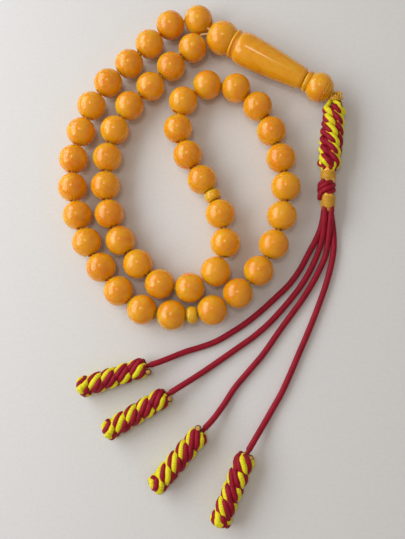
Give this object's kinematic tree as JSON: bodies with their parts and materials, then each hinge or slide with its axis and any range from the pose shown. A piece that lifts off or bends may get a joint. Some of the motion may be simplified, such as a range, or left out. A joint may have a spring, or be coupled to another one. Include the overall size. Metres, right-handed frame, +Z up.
{
  "type": "misbaha prayer beads",
  "caption": "Misbaha prayer beads: three sets of amber-coloured beads on an endless string, with dividers, head bead, imam, finial and a braided four-cord tassel.",
  "frame": {"origin": "centre of the box round the laid-out beads and tassel head, on the table plane, free cords and their braided ends left out", "axes": "+Z up off the table, +Y from the braided ends of the tassel towards the head bead, +X to the right, towards the finial"},
  "size_m": [0.0986, 0.177, 0.0117],
  "materials": {
    "amber_resin": "polished, warm translucent amber resin",
    "lemon_resin": "polished, translucent yellow resin",
    "string": "plied peach-yellow thread",
    "crimson_cord": "braided satin cord, deep crimson",
    "lemon_cord": "braided satin cord, lemon yellow worked together with crimson",
    "gold_thread": "glossy gold thread, closely wound"
  },
  "bodies": {
    "string": {"stringing_cord": "string"},
    "prayer_bead_01": {"prayer_bead_01": "amber_resin"},
    "prayer_bead_02": {"prayer_bead_02": "amber_resin"},
    "prayer_bead_03": {"prayer_bead_03": "amber_resin"},
    "prayer_bead_04": {"prayer_bead_04": "amber_resin"},
    "prayer_bead_05": {"prayer_bead_05": "amber_resin"},
    "prayer_bead_06": {"prayer_bead_06": "amber_resin"},
    "prayer_bead_07": {"prayer_bead_07": "amber_resin"},
    "prayer_bead_08": {"prayer_bead_08": "amber_resin"},
    "prayer_bead_09": {"prayer_bead_09": "amber_resin"},
    "prayer_bead_10": {"prayer_bead_10": "amber_resin"},
    "prayer_bead_11": {"prayer_bead_11": "amber_resin"},
    "prayer_bead_12": {"prayer_bead_12": "amber_resin"},
    "prayer_bead_13": {"prayer_bead_13": "amber_resin"},
    "prayer_bead_14": {"prayer_bead_14": "amber_resin"},
    "prayer_bead_15": {"prayer_bead_15": "amber_resin"},
    "prayer_bead_16": {"prayer_bead_16": "amber_resin"},
    "prayer_bead_17": {"prayer_bead_17": "amber_resin"},
    "prayer_bead_18": {"prayer_bead_18": "amber_resin"},
    "prayer_bead_19": {"prayer_bead_19": "amber_resin"},
    "prayer_bead_20": {"prayer_bead_20": "amber_resin"},
    "prayer_bead_21": {"prayer_bead_21": "amber_resin"},
    "prayer_bead_22": {"prayer_bead_22": "amber_resin"},
    "prayer_bead_23": {"prayer_bead_23": "amber_resin"},
    "prayer_bead_24": {"prayer_bead_24": "amber_resin"},
    "prayer_bead_25": {"prayer_bead_25": "amber_resin"},
    "prayer_bead_26": {"prayer_bead_26": "amber_resin"},
    "prayer_bead_27": {"prayer_bead_27": "amber_resin"},
    "prayer_bead_28": {"prayer_bead_28": "amber_resin"},
    "prayer_bead_29": {"prayer_bead_29": "amber_resin"},
    "prayer_bead_30": {"prayer_bead_30": "amber_resin"},
    "prayer_bead_31": {"prayer_bead_31": "amber_resin"},
    "prayer_bead_32": {"prayer_bead_32": "amber_resin"},
    "prayer_bead_33": {"prayer_bead_33": "amber_resin"},
    "prayer_bead_34": {"prayer_bead_34": "amber_resin"},
    "prayer_bead_35": {"prayer_bead_35": "amber_resin"},
    "prayer_bead_36": {"prayer_bead_36": "amber_resin"},
    "prayer_bead_37": {"prayer_bead_37": "amber_resin"},
    "prayer_bead_38": {"prayer_bead_38": "amber_resin"},
    "prayer_bead_39": {"prayer_bead_39": "amber_resin"},
    "prayer_bead_40": {"prayer_bead_40": "amber_resin"},
    "prayer_bead_41": {"prayer_bead_41": "amber_resin"},
    "prayer_bead_42": {"prayer_bead_42": "amber_resin"},
    "prayer_bead_43": {"prayer_bead_43": "amber_resin"},
    "prayer_bead_44": {"prayer_bead_44": "amber_resin"},
    "prayer_bead_45": {"prayer_bead_45": "amber_resin"},
    "divider_1": {"divider_1": "lemon_resin"},
    "divider_2": {"divider_2": "lemon_resin"},
    "head_bead": {"head_bead": "amber_resin"},
    "imam": {"imam": "amber_resin"},
    "finial": {"finial": "amber_resin"},
    "tassel_head": {"tassel_head": "crimson_cord"},
    "tassel_cord_1": {"tassel_cord_1": "crimson_cord"},
    "tassel_cord_2": {"tassel_cord_2": "crimson_cord"},
    "tassel_cord_3": {"tassel_cord_3": "crimson_cord"},
    "tassel_cord_4": {"tassel_cord_4": "crimson_cord"},
    "end_braid_1": {"end_braid_1": "lemon_cord"},
    "end_braid_2": {"end_braid_2": "lemon_cord"},
    "end_braid_3": {"end_braid_3": "lemon_cord"},
    "end_braid_4": {"end_braid_4": "lemon_cord"}
  },
  "joints": [
    {"name": "tassel_swing", "type": "hinge", "parent": "string", "child": "tassel_head", "pos_m": [0.04606, 0.0226, 0.00487], "axis": [0, 0, 1], "range_deg": [-3, 120]},
    {"name": "cord_1_lift", "type": "hinge", "parent": "tassel_head", "child": "tassel_cord_1", "pos_m": [0.03787, -0.02757, 0.0021], "axis": [-0.9703, 0.2419, 0], "range_deg": [0, 70]},
    {"name": "cord_2_lift", "type": "hinge", "parent": "tassel_head", "child": "tassel_cord_2", "pos_m": [0.03997, -0.02817, 0.0021], "axis": [-0.9703, 0.2419, 0], "range_deg": [0, 70]},
    {"name": "cord_3_lift", "type": "hinge", "parent": "tassel_head", "child": "tassel_cord_3", "pos_m": [0.04217, -0.02867, 0.0021], "axis": [-0.9703, 0.2419, 0], "range_deg": [0, 70]},
    {"name": "cord_4_lift", "type": "hinge", "parent": "tassel_head", "child": "tassel_cord_4", "pos_m": [0.04428, -0.02917, 0.0021], "axis": [-0.9703, 0.2419, 0], "range_deg": [0, 70]},
    {"name": "braid_1_swing", "type": "hinge", "parent": "tassel_cord_1", "child": "end_braid_1", "pos_m": [-0.01686, -0.06824, 0.0034], "axis": [0, 0, 1], "range_deg": [-20, 20]},
    {"name": "braid_2_swing", "type": "hinge", "parent": "tassel_cord_2", "child": "end_braid_2", "pos_m": [-0.01014, -0.0772, 0.0034], "axis": [0, 0, 1], "range_deg": [-20, 20]},
    {"name": "braid_3_swing", "type": "hinge", "parent": "tassel_cord_3", "child": "end_braid_3", "pos_m": [0.00101, -0.08846, 0.0034], "axis": [0, 0, 1], "range_deg": [-20, 20]},
    {"name": "braid_4_swing", "type": "hinge", "parent": "tassel_cord_4", "child": "end_braid_4", "pos_m": [0.01508, -0.0951, 0.0034], "axis": [0, 0, 1], "range_deg": [-20, 20]},
    {"name": "prayer_bead_01_spin", "type": "hinge", "parent": "string", "child": "prayer_bead_01", "pos_m": [-0.001, 0.0525, 0.005], "axis": [-0.9246, 0.3808, 0], "continuous": true},
    {"name": "prayer_bead_02_spin", "type": "hinge", "parent": "string", "child": "prayer_bead_02", "pos_m": [-0.011, 0.051, 0.005], "axis": [-0.9006, -0.4347, 0], "continuous": true},
    {"name": "prayer_bead_03_spin", "type": "hinge", "parent": "string", "child": "prayer_bead_03", "pos_m": [-0.01839, 0.04411, 0.005], "axis": [-0.7194, -0.6946, 0], "continuous": true},
    {"name": "prayer_bead_04_spin", "type": "hinge", "parent": "string", "child": "prayer_bead_04", "pos_m": [-0.02554, 0.03696, 0.005], "axis": [-0.7178, -0.6963, 0], "continuous": true},
    {"name": "prayer_bead_05_spin", "type": "hinge", "parent": "string", "child": "prayer_bead_05", "pos_m": [-0.0329, 0.03003, 0.005], "axis": [-0.6519, -0.7583, 0], "continuous": true},
    {"name": "prayer_bead_06_spin", "type": "hinge", "parent": "string", "child": "prayer_bead_06", "pos_m": [-0.03865, 0.02171, 0.005], "axis": [-0.4581, -0.8889, 0], "continuous": true},
    {"name": "prayer_bead_07_spin", "type": "hinge", "parent": "string", "child": "prayer_bead_07", "pos_m": [-0.04209, 0.0122, 0.005], "axis": [-0.2904, -0.9569, 0], "continuous": true},
    {"name": "prayer_bead_08_spin", "type": "hinge", "parent": "string", "child": "prayer_bead_08", "pos_m": [-0.04451, 0.00239, 0.005], "axis": [-0.1189, -0.9929, 0], "continuous": true},
    {"name": "prayer_bead_09_spin", "type": "hinge", "parent": "string", "child": "prayer_bead_09", "pos_m": [-0.04448, -0.00772, 0.005], "axis": [0.1019, -0.9948, 0], "continuous": true},
    {"name": "prayer_bead_10_spin", "type": "hinge", "parent": "string", "child": "prayer_bead_10", "pos_m": [-0.04246, -0.01763, 0.005], "axis": [0.2742, -0.9617, 0], "continuous": true},
    {"name": "prayer_bead_11_spin", "type": "hinge", "parent": "string", "child": "prayer_bead_11", "pos_m": [-0.03895, -0.02711, 0.005], "axis": [0.4304, -0.9026, 0], "continuous": true},
    {"name": "prayer_bead_12_spin", "type": "hinge", "parent": "string", "child": "prayer_bead_12", "pos_m": [-0.0338, -0.03581, 0.005], "axis": [0.559, -0.8292, 0], "continuous": true},
    {"name": "prayer_bead_13_spin", "type": "hinge", "parent": "string", "child": "prayer_bead_13", "pos_m": [-0.02766, -0.04385, 0.005], "axis": [0.7007, -0.7134, 0], "continuous": true},
    {"name": "prayer_bead_14_spin", "type": "hinge", "parent": "string", "child": "prayer_bead_14", "pos_m": [-0.01974, -0.05012, 0.005], "axis": [0.9092, -0.4163, 0], "continuous": true},
    {"name": "prayer_bead_15_spin", "type": "hinge", "parent": "string", "child": "prayer_bead_15", "pos_m": [-0.00981, -0.05202, 0.005], "axis": [0.9957, -0.0929, 0], "continuous": true},
    {"name": "prayer_bead_16_spin", "type": "hinge", "parent": "string", "child": "prayer_bead_16", "pos_m": [0.00363, -0.05044, 0.005], "axis": [0.9193, 0.3936, 0], "continuous": true},
    {"name": "prayer_bead_17_spin", "type": "hinge", "parent": "string", "child": "prayer_bead_17", "pos_m": [0.0121, -0.04492, 0.005], "axis": [0.7652, 0.6438, 0], "continuous": true},
    {"name": "prayer_bead_18_spin", "type": "hinge", "parent": "string", "child": "prayer_bead_18", "pos_m": [0.01899, -0.03752, 0.005], "axis": [0.5967, 0.8025, 0], "continuous": true},
    {"name": "prayer_bead_19_spin", "type": "hinge", "parent": "string", "child": "prayer_bead_19", "pos_m": [0.02409, -0.02879, 0.005], "axis": [0.398, 0.9174, 0], "continuous": true},
    {"name": "prayer_bead_20_spin", "type": "hinge", "parent": "string", "child": "prayer_bead_20", "pos_m": [0.02698, -0.0191, 0.005], "axis": [0.2186, 0.9758, 0], "continuous": true},
    {"name": "prayer_bead_21_spin", "type": "hinge", "parent": "string", "child": "prayer_bead_21", "pos_m": [0.0285, -0.00911, 0.005], "axis": [0.0023, 1, 0], "continuous": true},
    {"name": "prayer_bead_22_spin", "type": "hinge", "parent": "string", "child": "prayer_bead_22", "pos_m": [0.02702, 0.0009, 0.005], "axis": [-0.224, 0.9746, 0], "continuous": true},
    {"name": "prayer_bead_23_spin", "type": "hinge", "parent": "string", "child": "prayer_bead_23", "pos_m": [0.02398, 0.01054, 0.005], "axis": [-0.376, 0.9266, 0], "continuous": true},
    {"name": "prayer_bead_24_spin", "type": "hinge", "parent": "string", "child": "prayer_bead_24", "pos_m": [0.01945, 0.01957, 0.005], "axis": [-0.5993, 0.8005, 0], "continuous": true},
    {"name": "prayer_bead_25_spin", "type": "hinge", "parent": "string", "child": "prayer_bead_25", "pos_m": [0.01205, 0.02647, 0.005], "axis": [-0.8995, 0.4369, 0], "continuous": true},
    {"name": "prayer_bead_26_spin", "type": "hinge", "parent": "string", "child": "prayer_bead_26", "pos_m": [0.00206, 0.02802, 0.005], "axis": [-0.9753, -0.2208, 0], "continuous": true},
    {"name": "prayer_bead_27_spin", "type": "hinge", "parent": "string", "child": "prayer_bead_27", "pos_m": [-0.00629, 0.02232, 0.005], "axis": [-0.5421, -0.8403, 0], "continuous": true},
    {"name": "prayer_bead_28_spin", "type": "hinge", "parent": "string", "child": "prayer_bead_28", "pos_m": [-0.00803, 0.01236, 0.005], "axis": [0.0836, -0.9965, 0], "continuous": true},
    {"name": "prayer_bead_29_spin", "type": "hinge", "parent": "string", "child": "prayer_bead_29", "pos_m": [-0.00465, 0.00283, 0.005], "axis": [0.4096, -0.9123, 0], "continuous": true},
    {"name": "prayer_bead_30_spin", "type": "hinge", "parent": "string", "child": "prayer_bead_30", "pos_m": [0.00022, -0.00602, 0.005], "axis": [0.5101, -0.8601, 0], "continuous": true},
    {"name": "prayer_bead_31_spin", "type": "hinge", "parent": "string", "child": "prayer_bead_31", "pos_m": [0.0064, -0.01809, 0.005], "axis": [0.2673, -0.9636, 0], "continuous": true},
    {"name": "prayer_bead_32_spin", "type": "hinge", "parent": "string", "child": "prayer_bead_32", "pos_m": [0.00804, -0.02807, 0.005], "axis": [-0.0825, -0.9966, 0], "continuous": true},
    {"name": "prayer_bead_33_spin", "type": "hinge", "parent": "string", "child": "prayer_bead_33", "pos_m": [0.00478, -0.03764, 0.005], "axis": [-0.6227, -0.7825, 0], "continuous": true},
    {"name": "prayer_bead_34_spin", "type": "hinge", "parent": "string", "child": "prayer_bead_34", "pos_m": [-0.00382, -0.04296, 0.005], "axis": [-0.9784, -0.2069, 0], "continuous": true},
    {"name": "prayer_bead_35_spin", "type": "hinge", "parent": "string", "child": "prayer_bead_35", "pos_m": [-0.01383, -0.04158, 0.005], "axis": [-0.9048, 0.4258, 0], "continuous": true},
    {"name": "prayer_bead_36_spin", "type": "hinge", "parent": "string", "child": "prayer_bead_36", "pos_m": [-0.02128, -0.03474, 0.005], "axis": [-0.6733, 0.7394, 0], "continuous": true},
    {"name": "prayer_bead_37_spin", "type": "hinge", "parent": "string", "child": "prayer_bead_37", "pos_m": [-0.02739, -0.02669, 0.005], "axis": [-0.5034, 0.8641, 0], "continuous": true},
    {"name": "prayer_bead_38_spin", "type": "hinge", "parent": "string", "child": "prayer_bead_38", "pos_m": [-0.03138, -0.0174, 0.005], "axis": [-0.2785, 0.9604, 0], "continuous": true},
    {"name": "prayer_bead_39_spin", "type": "hinge", "parent": "string", "child": "prayer_bead_39", "pos_m": [-0.03298, -0.00742, 0.005], "axis": [-0.0578, 0.9983, 0], "continuous": true},
    {"name": "prayer_bead_40_spin", "type": "hinge", "parent": "string", "child": "prayer_bead_40", "pos_m": [-0.03255, 0.00268, 0.005], "axis": [0.1384, 0.9904, 0], "continuous": true},
    {"name": "prayer_bead_41_spin", "type": "hinge", "parent": "string", "child": "prayer_bead_41", "pos_m": [-0.03019, 0.01251, 0.005], "axis": [0.3686, 0.9296, 0], "continuous": true},
    {"name": "prayer_bead_42_spin", "type": "hinge", "parent": "string", "child": "prayer_bead_42", "pos_m": [-0.02517, 0.02129, 0.005], "axis": [0.6195, 0.785, 0], "continuous": true},
    {"name": "prayer_bead_43_spin", "type": "hinge", "parent": "string", "child": "prayer_bead_43", "pos_m": [-0.0178, 0.02821, 0.005], "axis": [0.7181, 0.6959, 0], "continuous": true},
    {"name": "prayer_bead_44_spin", "type": "hinge", "parent": "string", "child": "prayer_bead_44", "pos_m": [-0.01065, 0.03536, 0.005], "axis": [0.7317, 0.6816, 0], "continuous": true},
    {"name": "prayer_bead_45_spin", "type": "hinge", "parent": "string", "child": "prayer_bead_45", "pos_m": [-0.00302, 0.04199, 0.005], "axis": [0.728, 0.6856, 0], "continuous": true},
    {"name": "divider_1_spin", "type": "hinge", "parent": "string", "child": "divider_1", "pos_m": [-0.003, -0.052, 0.005], "axis": [0.9931, 0.117, 0], "continuous": true},
    {"name": "divider_2_spin", "type": "hinge", "parent": "string", "child": "divider_2", "pos_m": [0.00388, -0.01177, 0.005], "axis": [0.4557, -0.8901, 0], "continuous": true},
    {"name": "head_bead_spin", "type": "hinge", "parent": "string", "child": "head_bead", "pos_m": [0.0076, 0.0448, 0.0059], "axis": [0.8658, -0.4999, -0.0232], "continuous": true},
    {"name": "imam_spin", "type": "hinge", "parent": "string", "child": "imam", "pos_m": [0.02059, 0.0373, 0.00555], "axis": [0.8658, -0.4999, -0.0232], "continuous": true},
    {"name": "finial_spin", "type": "hinge", "parent": "string", "child": "finial", "pos_m": [0.0405, 0.02581, 0.00502], "axis": [0.8658, -0.4999, -0.0232], "continuous": true}
  ]
}
